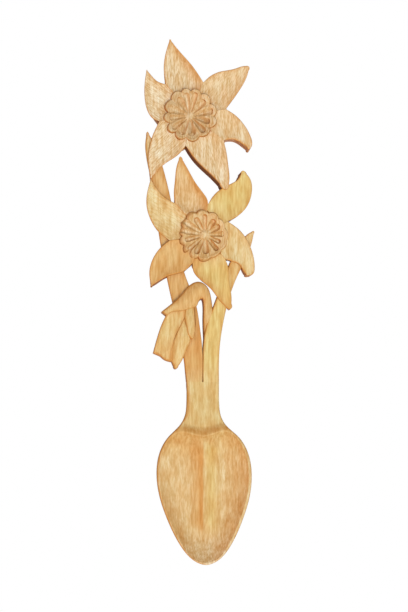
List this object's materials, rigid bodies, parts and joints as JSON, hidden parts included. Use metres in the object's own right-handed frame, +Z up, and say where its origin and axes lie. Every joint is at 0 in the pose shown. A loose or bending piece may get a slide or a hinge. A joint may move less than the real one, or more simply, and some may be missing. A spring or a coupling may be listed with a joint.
{
  "type": "welsh love spoon",
  "caption": "Carved wooden love spoon with two daffodils, a drooping bud and long leaves above a heart-shaped bowl, for hanging on a wall.",
  "frame": {"origin": "crotch between the upper flower's two lowest petals, on the flat back, where a nail holds the spoon", "axes": "+Z up as the spoon hangs, -Y out of its carved face, +X to the right as seen from the front"},
  "size_m": [0.0558, 0.014, 0.2633],
  "materials": {
    "limewood": "hand carved, sanded and waxed"
  },
  "bodies": {
    "root": {"bowl": "limewood", "bud_left_petal": "limewood", "bud_middle_petal": "limewood", "bud_stalk": "limewood", "bud_tongue": "limewood", "left_leaf": "limewood", "lower_petal_bottom": "limewood", "lower_petal_left": "limewood", "lower_petal_lower_left": "limewood", "lower_petal_right": "limewood", "lower_petal_top": "limewood", "lower_petal_upper_right": "limewood", "lower_trumpet_cup": "limewood", "lower_trumpet_frill": "limewood", "neck": "limewood", "right_leaf": "limewood", "upper_petal_left": "limewood", "upper_petal_lower_left": "limewood", "upper_petal_lower_right": "limewood", "upper_petal_right": "limewood", "upper_petal_top": "limewood", "upper_petal_upper_right": "limewood", "upper_trumpet_cup": "limewood", "upper_trumpet_frill": "limewood"}
  },
  "joints": []
}
